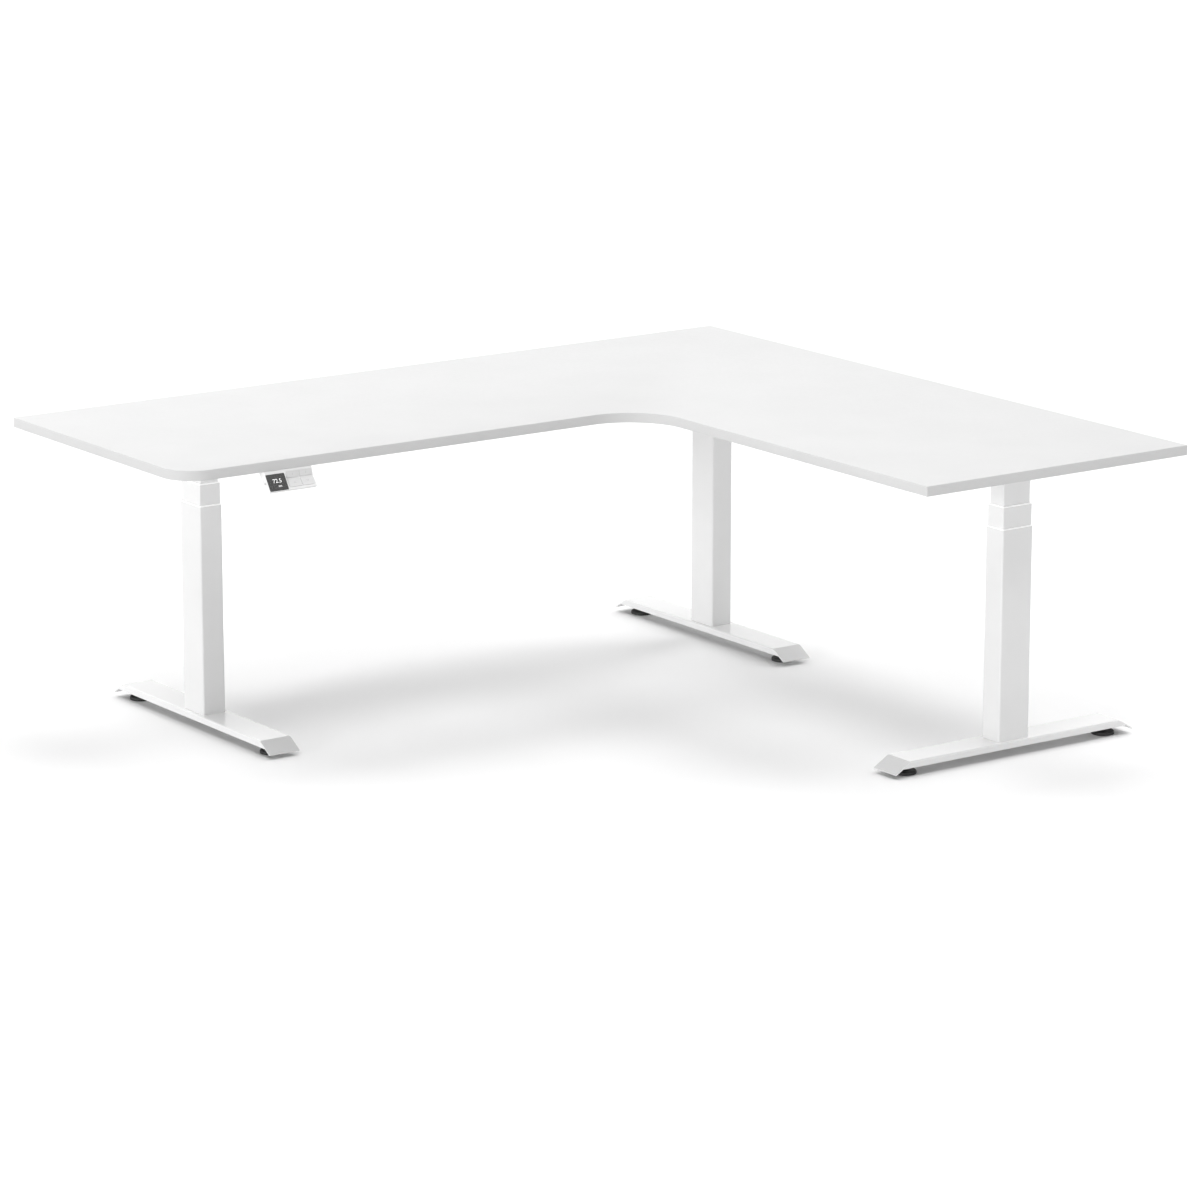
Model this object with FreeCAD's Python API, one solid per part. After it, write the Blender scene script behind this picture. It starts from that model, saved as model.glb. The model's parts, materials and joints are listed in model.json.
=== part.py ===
"""L-shaped electric standing desk with three telescopic legs.

Frame: +X along the main wing towards the corner, +Y towards the back, +Z up.
The origin is on the floor, under the centre of the desk's bounding box. Millimetres.
Each leg is drawn once in its own frame, where u (X) points along the rails towards the
middle of the desk and v (Y) points along the foot, and is then turned and moved into place.
"""
import FreeCAD, Part
import math
import os

Vector = FreeCAD.Vector
UP = Vector(0, 0, 1)

# ---- driving dimensions -------------------------------------------------------------
TOP_HEIGHT = 725.0        # height of the work surface in this pose
BOARD = 24.0              # thickness of the top
LENGTH_X = 2090.0         # main wing along X
LENGTH_Y = 1875.0         # whole desk along Y
WING_MAIN = 785.0         # depth of the main wing
WING_RETURN = 785.0       # depth of the return wing
FRONT_RADIUS = 80.0       # rounded free corner at the front left
INNER_RADIUS = 150.0      # hollow corner between the wings
BAND = 1.0                # edge band

LEG_FROM_END = 285.0      # main legs, from the ends of the main wing
LEG_FROM_TIP = 175.0      # return leg, from the tip of the return wing

FOOT_HEIGHT = 39.0
FOOT_WIDTH = 83.0
FOOT_HALF = 320.0         # half the flat length of a foot
FLAP_RUN = 43.0           # how far each end flap reaches out
FLAP_DROP = 26.0          # how far each end flap drops
FOOT_SKIRT = 16.0         # depth of the side walls
SHEET = 2.5               # folded sheet of feet and arms
PAD_RADIUS = 28.0
PAD_INSET = 16.0          # pad centre, in from the end of the flat
PAD_THICK = 9.0
STUD_RADIUS = 4.0

OUTER = (62.0, 92.0)      # outer tube, u by v
MIDDLE = (57.0, 87.0)
INNER = (50.0, 80.0)
WALL = 1.5
TUBE_CORNER = 5.0         # outer corner radius of the outer tube
RIM = 2.0                 # guide rim that caps a tube
OUTER_TOP = 552.0         # top of the outer tube's rim
MIDDLE_TOP = 605.0        # top of the middle tube's rim in this pose
COLLAR_BOTTOM = 654.0     # lower edge of the collar under the head plate
HEAD = 667.0              # underside of the head plate
HEAD_PLATE = 4.0
GUIDE = 60.0              # length of a guide bush
SLIDE_GAP = 0.3           # clearance between a guide and the tube that slides in it

LOWERED = 95.0            # travel from this pose down to the lowest setting
STAGE_LOWERED = LOWERED / 2

UNDERSIDE = TOP_HEIGHT - BOARD
RAIL = 30.0
RAIL_OFFSET = 62.0        # rail centre line from the leg centre
RAIL_END = 46.0           # rails start this far outside the leg centre
ARM_LENGTH = 560.0
ARM_WIDTH = 40.0
ARM_HEIGHT = 22.0
ARM_TIP_HEIGHT = 10.0
ARM_TAPER = 120.0

LEFT = -LENGTH_X / 2
RIGHT = LENGTH_X / 2
BACK = LENGTH_Y / 2
FRONT = -LENGTH_Y / 2
MAIN_FRONT = BACK - WING_MAIN       # front edge of the main wing
RETURN_LEFT = RIGHT - WING_RETURN   # user-side edge of the return wing
MAIN_Y = BACK - WING_MAIN / 2
RETURN_X = RIGHT - WING_RETURN / 2

# name: centre, turn in degrees, names of the pads at -v and +v
LEGS = {
    "left": ((LEFT + LEG_FROM_END, MAIN_Y), 0, ("front", "back")),
    "corner": ((RIGHT - LEG_FROM_END, MAIN_Y), 180, ("back", "front")),
    "return": ((RETURN_X, FRONT + LEG_FROM_TIP), 90, ("right", "left")),
}


# ---- helpers ------------------------------------------------------------------------
def save(name, shape):
    shape.exportStep("parts/%s.step" % name)


def box(x, y, z):
    """Box from three (low, high) pairs."""
    return Part.makeBox(x[1] - x[0], y[1] - y[0], z[1] - z[0], Vector(x[0], y[0], z[0]))


def centred(width, depth, z):
    return box((-width / 2, width / 2), (-depth / 2, depth / 2), z)


def is_along(edge, axis):
    direction = edge.Vertexes[-1].Point.sub(edge.Vertexes[0].Point)
    return direction.Length > 1e-6 and abs(direction.normalize().dot(axis)) > 0.999


def round_edges(shape, radius, axis):
    """Round every straight edge that runs along an axis."""
    chosen = [e for e in shape.Edges if len(e.Vertexes) == 2 and is_along(e, axis)]
    return shape.makeFillet(radius, chosen)


def rounded_bar(width, depth, z, radius):
    return round_edges(centred(width, depth, z), radius, UP)


def tube(size, wall, z, radius):
    outer = rounded_bar(size[0], size[1], z, radius)
    inner = rounded_bar(size[0] - 2 * wall, size[1] - 2 * wall, z, radius - wall)
    return outer.cut(inner)


def rod(radius, z, at=(0, 0)):
    return Part.makeCylinder(radius, z[1] - z[0], Vector(at[0], at[1], z[0]))


def pipe(radius, bore, z):
    return rod(radius, z).cut(rod(bore, z))


def prism_x(outline, x):
    """Extrude a (y, z) outline along X."""
    points = [Vector(x[0], y, z) for y, z in outline]
    face = Part.Face(Part.makePolygon(points + points[:1]))
    return face.extrude(Vector(x[1] - x[0], 0, 0))


def join(shapes):
    result = shapes[0]
    for shape in shapes[1:]:
        result = result.fuse(shape)
    return result.removeSplitter()


def cut_all(shape, tools):
    for tool in tools:
        shape = shape.cut(tool)
    return shape


def moved(shape, x=0, y=0, z=0):
    copy = shape.copy()
    copy.translate(Vector(x, y, z))
    return copy


def at_leg(shape, leg):
    centre, turn, _ = LEGS[leg]
    placed = shape.copy()
    placed.rotate(Vector(0, 0, 0), UP, turn)
    placed.translate(Vector(centre[0], centre[1], 0))
    return placed


def leg_point(leg, u, v):
    """Plan position of a point given in a leg's own frame."""
    centre, turn, _ = LEGS[leg]
    c = round(math.cos(math.radians(turn)))
    s = round(math.sin(math.radians(turn)))
    return centre[0] + c * u - s * v, centre[1] + s * u + c * v


# ---- feet ---------------------------------------------------------------------------
BASE_BOLTS = [(u, v) for u in (-20.0, 20.0) for v in (-34.0, 34.0)]
BOLT_RADIUS = 4.0
BOLT_HEAD = 5.0
BASE_PLATE = 8.0
FOOT_BEND = 3.0


def foot_channel():
    """Inverted folded channel whose end flaps slope down past its side walls."""
    slope = math.atan2(FLAP_DROP, FLAP_RUN)
    tip = (FOOT_HALF + FLAP_RUN, FOOT_HEIGHT - FLAP_DROP)
    tip_inside = (tip[0] - SHEET * math.sin(slope), tip[1] - SHEET * math.cos(slope))
    bend_inside = (FOOT_HALF - SHEET * math.tan(slope / 2), FOOT_HEIGHT - SHEET)
    right = [(FOOT_HALF, FOOT_HEIGHT), tip, tip_inside, bend_inside]
    left = [(-v, z) for v, z in reversed(right)]
    half = FOOT_WIDTH / 2
    sheet = prism_x(right + left, (-half, half))
    skirt_end = FOOT_HALF + FLAP_RUN * FOOT_SKIRT / FLAP_DROP
    skirt_bottom = FOOT_HEIGHT - FOOT_SKIRT
    skirt = [(-FOOT_HALF, FOOT_HEIGHT), (FOOT_HALF, FOOT_HEIGHT),
             (skirt_end, skirt_bottom), (-skirt_end, skirt_bottom)]
    walls = [prism_x(skirt, (-half, SHEET - half)), prism_x(skirt, (half - SHEET, half))]
    foot = join([sheet] + walls)
    long_edges = [e for e in foot.Edges
                  if is_along(e, Vector(0, 1, 0)) and e.BoundBox.ZMin > FOOT_HEIGHT - 0.1]
    foot = foot.makeFillet(FOOT_BEND, long_edges)
    holes = [rod(BOLT_RADIUS + 0.3, (0, FOOT_HEIGHT + 1), at) for at in BASE_BOLTS]
    return cut_all(foot, holes)


NUT_RADIUS = 8.0
NUT_BOTTOM = 22.0


def hexagon(radius, z, at=(0, 0)):
    corners = [Vector(at[0] + radius * math.cos(math.pi * k / 3),
                      at[1] + radius * math.sin(math.pi * k / 3), z[0]) for k in range(7)]
    return Part.Face(Part.makePolygon(corners)).extrude(Vector(0, 0, z[1] - z[0]))


def pad_nut(v):
    z = (NUT_BOTTOM, FOOT_HEIGHT - SHEET)
    return hexagon(NUT_RADIUS, z, (0, v)).cut(rod(STUD_RADIUS + 0.1, z, (0, v)))


def levelling_pad(v):
    """Plastic disc with a chamfered top, moulded round its threaded stud."""
    disc = rod(PAD_RADIUS, (0, PAD_THICK))
    rim = [e for e in disc.Edges if len(e.Vertexes) == 1 and e.BoundBox.ZMin > PAD_THICK - 0.1]
    disc = disc.makeChamfer(2.0, rim)
    neck = rod(9.0, (PAD_THICK, PAD_THICK + 5.0))
    stud = rod(STUD_RADIUS, (PAD_THICK, FOOT_HEIGHT - SHEET - 0.5))
    return moved(join([disc, neck, stud]), y=v)


def base_bolt(at):
    seat = FOOT_HEIGHT - SHEET
    head = hexagon(7.5, (seat - BOLT_HEAD, seat), at)
    return head.fuse(rod(BOLT_RADIUS, (seat, FOOT_HEIGHT + BASE_PLATE - 0.5), at)).removeSplitter()


# ---- telescopic columns -------------------------------------------------------------
POST_RADIUS = 15.0
POST_TOP = 540.0
NUT_TUBE_RADIUS = 18.0
SCREW_RADIUS = 8.0
MIDDLE_BOTTOM = 56.0 + STAGE_LOWERED
MIDDLE_FLOOR = 6.0
NUT_TUBE_TOP = 562.0 + STAGE_LOWERED
INNER_BOTTOM = 67.0 + LOWERED
SCREW_BOTTOM = 60.0 + LOWERED
HEAD_TOP = HEAD + HEAD_PLATE


def inner_radius(size):
    """Corner radius of a tube that nests concentrically in the outer one."""
    return max(TUBE_CORNER - (OUTER[0] - size[0]) / 2, 2.5)


def outer_tube():
    shell = tube(OUTER, WALL, (FOOT_HEIGHT, OUTER_TOP - RIM), TUBE_CORNER)
    plate = rounded_bar(OUTER[0] - 2 * WALL, OUTER[1] - 2 * WALL,
                        (FOOT_HEIGHT, FOOT_HEIGHT + BASE_PLATE), TUBE_CORNER - WALL)
    holes = [rod(BOLT_RADIUS + 0.1, (0, 100), at) for at in BASE_BOLTS]
    return join([shell, cut_all(plate, holes)])


def nut_post():
    """Fixed post on the base plate, which guides the nut tube."""
    return pipe(POST_RADIUS, POST_RADIUS - 2, (FOOT_HEIGHT + BASE_PLATE, POST_TOP))


def guide_bush(holder, slider, top):
    """Plastic liner in the mouth of a tube, with a rim that caps the tube's end."""
    radius = inner_radius(holder)
    hole = (slider[0] + 2 * SLIDE_GAP, slider[1] + 2 * SLIDE_GAP)
    opening = rounded_bar(hole[0], hole[1], (0, top + 1), inner_radius(slider) + SLIDE_GAP)
    liner = rounded_bar(holder[0] - 2 * WALL, holder[1] - 2 * WALL,
                        (top - RIM - GUIDE, top - RIM), max(radius - WALL, 1.0))
    rim = rounded_bar(holder[0], holder[1], (top - RIM, top), radius)
    return join([liner, rim]).cut(opening)


def middle_tube():
    radius = inner_radius(MIDDLE)
    shell = tube(MIDDLE, WALL, (MIDDLE_BOTTOM, MIDDLE_TOP - RIM), radius)
    floor = rounded_bar(MIDDLE[0] - 2 * WALL, MIDDLE[1] - 2 * WALL,
                        (MIDDLE_BOTTOM, MIDDLE_BOTTOM + MIDDLE_FLOOR), radius - WALL)
    return join([shell, floor.cut(rod(POST_RADIUS + 0.5, (0, MIDDLE_TOP)))])


def nut_tube():
    """Tube on the middle stage's floor with the drive nut in its top end."""
    body = pipe(NUT_TUBE_RADIUS, POST_RADIUS + 0.5,
                (MIDDLE_BOTTOM + MIDDLE_FLOOR, NUT_TUBE_TOP - 18))
    nut = pipe(NUT_TUBE_RADIUS, SCREW_RADIUS + 0.1, (NUT_TUBE_TOP - 18, NUT_TUBE_TOP))
    return join([body, nut])


HEAD_U = (-36.0, 40.0)
HEAD_V = 80.0
HEAD_BOLTS = [(u, v) for u in (-20.0, 24.0) for v in (-RAIL_OFFSET, RAIL_OFFSET)]
FRAME_BOLT_RADIUS = 3.0


def inner_tube():
    """Top stage, welded to the head plate that carries the rails."""
    radius = inner_radius(INNER)
    shell = tube(INNER, WALL, (INNER_BOTTOM, HEAD), radius)
    collar = tube((INNER[0] + 2, INNER[1] + 2), WALL, (COLLAR_BOTTOM, HEAD), radius + 1)
    plate = box(HEAD_U, (-HEAD_V, HEAD_V), (HEAD, HEAD_TOP))
    plate = round_edges(plate, 6.0, UP)
    holes = [rod(FRAME_BOLT_RADIUS + 0.2, (HEAD - 1, HEAD_TOP + 1), at) for at in HEAD_BOLTS]
    holes.append(rod(SCREW_RADIUS + 2, (HEAD - 1, HEAD_TOP + 1)))
    return join([shell, collar, cut_all(plate, holes)])


# ---- drive units --------------------------------------------------------------------
DRIVE_TOP = UNDERSIDE - 2
DRIVE_WALL = 2.0
WHEEL_Z = (HEAD_TOP + 5.5, HEAD_TOP + 11.5)
WHEEL_RADIUS = 14.0
WORM_RADIUS = 5.0
WORM_V = WHEEL_RADIUS + WORM_RADIUS + 0.5
MOTOR_RADIUS = 17.0
MOTOR_Z = (WHEEL_Z[0] + WHEEL_Z[1]) / 2
GEAR_BOX = ((-34.0, 44.0), 43.0, HEAD_TOP)
MOTOR_BOX = ((43.0, 184.0), 43.0, 650.0)
JOURNAL_RADIUS = 5.0
JOURNAL_TOP = 692.0


def drive_block(part, inset):
    (u0, u1), half, bottom = part
    block = box((u0 + inset, u1 - inset), (inset - half, half - inset),
                (bottom + inset, DRIVE_TOP - inset))
    return block


def drive_housing():
    """Hollow cover over the gears, stepping down beside the column to hold the motor."""
    cover = join([drive_block(GEAR_BOX, 0), drive_block(MOTOR_BOX, 0)])
    cover = round_edges(cover, 5.0, Vector(1, 0, 0))
    passage = box((30.0, 60.0), (4.0, 36.0), (MOTOR_Z - 1 - WORM_RADIUS, DRIVE_TOP - DRIVE_WALL))
    gears = drive_block(GEAR_BOX, DRIVE_WALL)
    motor_room = drive_block(MOTOR_BOX, DRIVE_WALL)
    cover = cut_all(cover, [gears, motor_room, passage])
    boss = pipe(JOURNAL_RADIUS + 5, JOURNAL_RADIUS + 0.1, (WHEEL_Z[1] + 2, DRIVE_TOP - 1))
    return join([cover, boss]).cut(rod(SCREW_RADIUS + 2, (HEAD, HEAD_TOP + DRIVE_WALL + 0.1)))


def along_u(radius, u, v, z):
    return Part.makeCylinder(radius, u[1] - u[0], Vector(u[0], v, z), Vector(1, 0, 0))


def motor():
    can = along_u(MOTOR_RADIUS, (62.0, 172.0), WORM_V, MOTOR_Z)
    can = can.makeFillet(2.0, [e for e in can.Edges if len(e.Vertexes) == 1])
    flange = along_u(14.0, (52.0, 62.0), WORM_V, MOTOR_Z)
    worm = along_u(WORM_RADIUS, (-16.0, 52.0), WORM_V, MOTOR_Z)
    return join([can, flange, worm])


def drive_screw():
    """Screw with the worm wheel on its head; it hangs from the bearing in the housing."""
    screw = rod(SCREW_RADIUS, (SCREW_BOTTOM, WHEEL_Z[0]))
    tip = [e for e in screw.Edges if len(e.Vertexes) == 1 and e.BoundBox.ZMax < SCREW_BOTTOM + 1]
    screw = screw.makeChamfer(1.5, tip)
    wheel = rod(WHEEL_RADIUS, WHEEL_Z)
    journal = rod(JOURNAL_RADIUS, (WHEEL_Z[1], JOURNAL_TOP))
    return join([screw, wheel, journal])


# ---- frame under the top ------------------------------------------------------------
ARM_U = (-RAIL_END - ARM_WIDTH, -RAIL_END)
ARM_MIDDLE = (ARM_U[0] + ARM_U[1]) / 2
ARM_SCREWS = (-250.0, -120.0, 120.0, 250.0)
SCREW_HOLE = 2.6
END_BOLT_Z = UNDERSIDE - 12.0
END_PLUG = 15.0


def support_arm():
    """Inverted channel across the wing that the top is screwed to, tapered at its ends."""
    half = ARM_LENGTH / 2
    low = UNDERSIDE - ARM_HEIGHT
    tip = UNDERSIDE - ARM_TIP_HEIGHT
    side = [(-half, UNDERSIDE), (half, UNDERSIDE), (half, tip), (half - ARM_TAPER, low),
            (ARM_TAPER - half, low), (-half, tip)]
    arm = round_edges(prism_x(side, ARM_U), 2.0, Vector(1, 0, 0))
    hollow = box((ARM_U[0] + SHEET, ARM_U[1] - SHEET), (SHEET - half, half - SHEET),
                 (0, UNDERSIDE - SHEET))
    screws = [rod(SCREW_HOLE, (0, UNDERSIDE + 1), (ARM_MIDDLE, v)) for v in ARM_SCREWS]
    bolts = [along_u(FRAME_BOLT_RADIUS + 0.2, (ARM_U[1] - 5, ARM_U[1] + 1), v, END_BOLT_Z)
             for v in (-RAIL_OFFSET, RAIL_OFFSET)]
    return cut_all(arm, [hollow] + screws + bolts)


def rail(u, plugs):
    """Square tube along u, with a threaded plug in each end that takes a bolt."""
    z = (UNDERSIDE - RAIL, UNDERSIDE)
    half = RAIL / 2
    bar = round_edges(box(u, (-half, half), z), 2.5, Vector(1, 0, 0))
    room = box((u[0] + plugs[0], u[1] - plugs[1]), (WALL - half, half - WALL),
               (z[0] + WALL, z[1] - WALL))
    bores = []
    bore = FRAME_BOLT_RADIUS + 0.1
    if plugs[0]:
        bores.append(along_u(bore, (u[0] - 1, u[0] + plugs[0] + 1), 0, END_BOLT_Z))
    if plugs[1]:
        bores.append(along_u(bore, (u[1] - plugs[1] - 1, u[1] + 1), 0, END_BOLT_Z))
    return cut_all(bar, [room] + bores)


def upright_holes(points, radius):
    z = (UNDERSIDE - RAIL - 1, UNDERSIDE - RAIL + WALL + 1)
    return [rod(radius, z, at) for at in points]


def main_rail(side):
    """Rail from the left leg's arm to the corner leg's arm; side is -1 front, +1 back."""
    y = MAIN_Y + side * RAIL_OFFSET
    u0 = LEGS["left"][0][0] - RAIL_END
    u1 = LEGS["corner"][0][0] + RAIL_END
    bar = moved(rail((u0, u1), (END_PLUG, END_PLUG)), y=y)
    bolts = [leg_point(leg, u, v) for leg in ("left", "corner") for u, v in HEAD_BOLTS]
    if side < 0:
        bolts += [(x, y) for x in CORNER_MAIN_X]
    on_rail = [p for p in bolts if abs(p[1] - y) < 1]
    return cut_all(bar, upright_holes(on_rail, FRAME_BOLT_RADIUS + 0.2))


CORNER_MAIN_X = (RETURN_X - RAIL_OFFSET, RETURN_X)
CORNER_RETURN_Y = MAIN_Y - RAIL_OFFSET - RAIL / 2 - 40.0
CORNER_PLATE = 3.0


def return_rail(side):
    """Rail from the return leg's arm to the main front rail; side is -1 left, +1 right."""
    centre = LEGS["return"][0]
    end = MAIN_Y - RAIL_OFFSET - RAIL / 2 - 1.0
    bar = rail((-RAIL_END, end - centre[1]), (END_PLUG, 0))
    bar.rotate(Vector(0, 0, 0), UP, 90)
    bar.translate(Vector(RETURN_X + side * RAIL_OFFSET, centre[1], 0))
    bolts = [leg_point("return", u, v) for u, v in HEAD_BOLTS]
    x = RETURN_X + side * RAIL_OFFSET
    bolts = [p for p in bolts if abs(p[0] - x) < 1] + [(x, CORNER_RETURN_Y)]
    return cut_all(bar, upright_holes(bolts, FRAME_BOLT_RADIUS + 0.2))


def corner_bolts():
    ends = [(RETURN_X + side * RAIL_OFFSET, CORNER_RETURN_Y) for side in (-1, 1)]
    return ends + [(x, MAIN_Y - RAIL_OFFSET) for x in CORNER_MAIN_X]


def corner_plate():
    """Flat plate under the rails that ties the return wing's rails to the main ones."""
    z = (UNDERSIDE - RAIL - CORNER_PLATE, UNDERSIDE - RAIL)
    seam = MAIN_Y - RAIL_OFFSET - RAIL / 2 - 5.0
    wide = box((RETURN_X - 84, RETURN_X + 84), (CORNER_RETURN_Y - 24, seam), z)
    narrow = box((RETURN_X - 84, RETURN_X + 62), (seam, MAIN_Y - RAIL_OFFSET + 14), z)
    plate = round_edges(join([wide, narrow]), 4.0, UP)
    return cut_all(plate, [rod(FRAME_BOLT_RADIUS + 0.2, (z[0] - 1, z[1] + 1), at)
                           for at in corner_bolts()])


def frame_bolt(at, seat, reach=16.0):
    """Button-head bolt that comes up from below to a seat height."""
    head = rod(6.0, (seat - 3.5, seat), at)
    head = head.makeFillet(1.5, [e for e in head.Edges
                                 if len(e.Vertexes) == 1 and e.BoundBox.ZMax < seat - 3])
    socket = hexagon(2.3, (seat - 4, seat - 1.5), at)
    return head.cut(socket).fuse(rod(FRAME_BOLT_RADIUS, (seat, seat + reach), at)).removeSplitter()


def end_bolt(v):
    """The same bolt lying along u, through an arm into a rail's end."""
    bolt = frame_bolt((0, 0), 0)
    bolt.rotate(Vector(0, 0, 0), Vector(0, 1, 0), 90)
    bolt.translate(Vector(ARM_U[1] - SHEET, v, END_BOLT_Z))
    return bolt


def frame_bolts():
    bolts = []
    for leg in LEGS:
        bolts += [at_leg(frame_bolt(at, HEAD), leg) for at in HEAD_BOLTS]
        bolts += [at_leg(end_bolt(v), leg) for v in (-RAIL_OFFSET, RAIL_OFFSET)]
    low = UNDERSIDE - RAIL - CORNER_PLATE
    bolts += [frame_bolt(at, low) for at in corner_bolts()]
    return bolts


# ---- control box --------------------------------------------------------------------
CONTROL_X = (-130.0, 130.0)
CONTROL_Y = (640.0, 740.0)
CONTROL_BOTTOM = 663.0
EAR = 14.0
SOCKET_Z = (669.0, 685.0)
SOCKET_DEPTH = 14.0
SOCKETS = [(-110.0, -84.0)] + [(x, x + 20.0) for x in (-40.0, -6.0, 28.0, 62.0)]


def control_ears():
    y = (CONTROL_Y[0] + 20, CONTROL_Y[1] - 20)
    return [(x, at) for x in (CONTROL_X[0] - EAR / 2, CONTROL_X[1] + EAR / 2) for at in y]


def control_box():
    """Power supply case: a mains inlet and four connector sockets along its front."""
    body = box(CONTROL_X, CONTROL_Y, (CONTROL_BOTTOM, UNDERSIDE))
    body = round_edges(body, 5.0, UP)
    bottom = [e for e in body.Edges if e.BoundBox.ZMax < CONTROL_BOTTOM + 0.1]
    body = body.makeFillet(3.0, bottom)
    tabs = []
    for x, y in control_ears():
        tab = box((x - EAR / 2 - 1, x + EAR / 2 + 1), (y - 9, y + 9), (UNDERSIDE - SHEET, UNDERSIDE))
        tabs.append(round_edges(tab, 2.0, UP))
    body = join([body] + tabs)
    wells = [box(x, (CONTROL_Y[0] - 1, CONTROL_Y[0] + SOCKET_DEPTH), SOCKET_Z) for x in SOCKETS]
    screws = [rod(SCREW_HOLE, (CONTROL_BOTTOM, UNDERSIDE + 1), at) for at in control_ears()]
    vent_y = (CONTROL_Y[0] + 30, CONTROL_Y[1] - 12)
    vents = [box((x, x + 3), vent_y, (CONTROL_BOTTOM - 1, CONTROL_BOTTOM + 1))
             for x in range(-100, 101, 10)]
    return cut_all(body, wells + screws + vents)


# ---- handset ------------------------------------------------------------------------
HANDSET_X = (LEFT + 221.5, LEFT + 350.0)
HANDSET_BACK = MAIN_FRONT + 60.0
FACE_TOP = (MAIN_FRONT - 4.0, UNDERSIDE - 6.0)       # y, z of the face's upper edge
FACE_BOTTOM = (MAIN_FRONT - 27.6, UNDERSIDE - 42.5)
RIDGE = (MAIN_FRONT - 8.5, UNDERSIDE - 20.5)         # crease between the two rows of keys
KEYS_TOP = (MAIN_FRONT - 3.5, UNDERSIDE - 3.0)
KEYS_BOTTOM = (MAIN_FRONT - 24.5, UNDERSIDE - 39.0)
DISPLAY_X = (HANDSET_X[0] + 1.0, HANDSET_X[0] + 51.5)
DISPLAY_SPAN = (0.02, 0.985)                         # fractions of the face's slope
PANEL_THICK = 2.0
PANEL_PROUD = 0.3
PANEL_CORNER = 2.0
KEYS_X = (HANDSET_X[0] + 55.5, HANDSET_X[1] - 1.5)
KEY_THICK = 3.0
KEY_PROUD = 1.0
KEY_GAP = 0.25
KEY_TRAVEL_ROOM = 1.6                                # pocket depth behind a key at rest
KEY_MARGIN = {"upper": 1.6, "lower": 1.4}            # from the ends of each key's slope
KEY_SPACING = 2.0
KEY_CORNER = 1.2
END_CORNER = 6.0                                     # lower corner at the right end of the case
LIP = 2.0                                            # how far the case hangs below the face


def tip_onto(shape, low, high, x):
    """Turn a shape drawn flat in XY so that its y axis climbs from low to high, starting at x."""
    turn = math.degrees(math.atan2(high[1] - low[1], high[0] - low[0]))
    shape.rotate(Vector(0, 0, 0), Vector(1, 0, 0), turn)
    shape.translate(Vector(x, low[0], low[1]))
    return shape


def plate_corners(plate, chosen):
    """Upright edges at the chosen corners of a plate; each corner is (right side, upper side)."""
    ends = plate.BoundBox
    edges = []
    for right, upper in chosen:
        corner = Vector(ends.XMax if right else ends.XMin, ends.YMax if upper else ends.YMin, 0)
        edges += [e for e in plate.Edges if is_along(e, UP)
                  and math.hypot(e.CenterOfMass.x - corner.x, e.CenterOfMass.y - corner.y) < 0.01]
    return edges


def on_slope(low, high, x, along, normal, radius, end_radius):
    """Plate on a sloping face; along runs up the slope from low, normal points outwards."""
    run = math.hypot(high[0] - low[0], high[1] - low[1])
    plate = box((0, x[1] - x[0]), (along[0] * run, along[1] * run), normal)
    plate = plate.makeFillet(end_radius, plate_corners(plate, [(True, False)]))
    others = [(False, False), (False, True), (True, True)]
    plate = plate.makeFillet(radius, plate_corners(plate, others))
    return tip_onto(plate, low, high, x[0])


def display():
    normal = (-PANEL_THICK, PANEL_PROUD)
    return on_slope(FACE_BOTTOM, FACE_TOP, DISPLAY_X, DISPLAY_SPAN, normal, PANEL_CORNER, PANEL_CORNER)


def key_plate(row, x, grow, end_radius):
    """One key, or its pocket when grow is positive."""
    low, high = (KEYS_BOTTOM, RIDGE) if row == "lower" else (RIDGE, KEYS_TOP)
    run = math.hypot(high[0] - low[0], high[1] - low[1])
    margin = KEY_MARGIN[row] - grow
    depth = -KEY_THICK - (KEY_TRAVEL_ROOM if grow else 0)
    return on_slope(low, high, (x[0] - grow, x[1] + grow), (margin / run, 1 - margin / run),
                    (depth, KEY_PROUD), KEY_CORNER + grow, end_radius + grow)


def key_spans(count):
    width = (KEYS_X[1] - KEYS_X[0]) / count
    half = KEY_SPACING / 2
    return [(KEYS_X[0] + k * width + half, KEYS_X[0] + (k + 1) * width - half) for k in range(count)]


KEYS = {"key_memory_1": ("upper", 0), "key_memory_2": ("upper", 1),
        "key_up": ("lower", 0), "key_down": ("lower", 1)}


def key(name, grow=0.0):
    row, place = KEYS[name]
    end_radius = END_CORNER - 1.5 if name == "key_down" else KEY_CORNER
    return key_plate(row, key_spans(2)[place], grow, end_radius)


def handset_screws():
    y = HANDSET_BACK - 9.0
    return [(HANDSET_X[0] + 18.0, y), (HANDSET_X[1] - 18.0, y)]


PORT = (9.0, 3.2, 3.5)      # connector slot in the left side: along y, height, depth


def end_tool():
    """What is cut from the case to round its lower corner at the right end, square to the face."""
    corner = box((-END_CORNER, 1), (-LIP - 10, END_CORNER - LIP), (-40, 10))
    core = rod(END_CORNER, (-41, 11), (-END_CORNER, END_CORNER - LIP))
    return tip_onto(corner.cut(core), FACE_BOTTOM, FACE_TOP, HANDSET_X[1])


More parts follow.
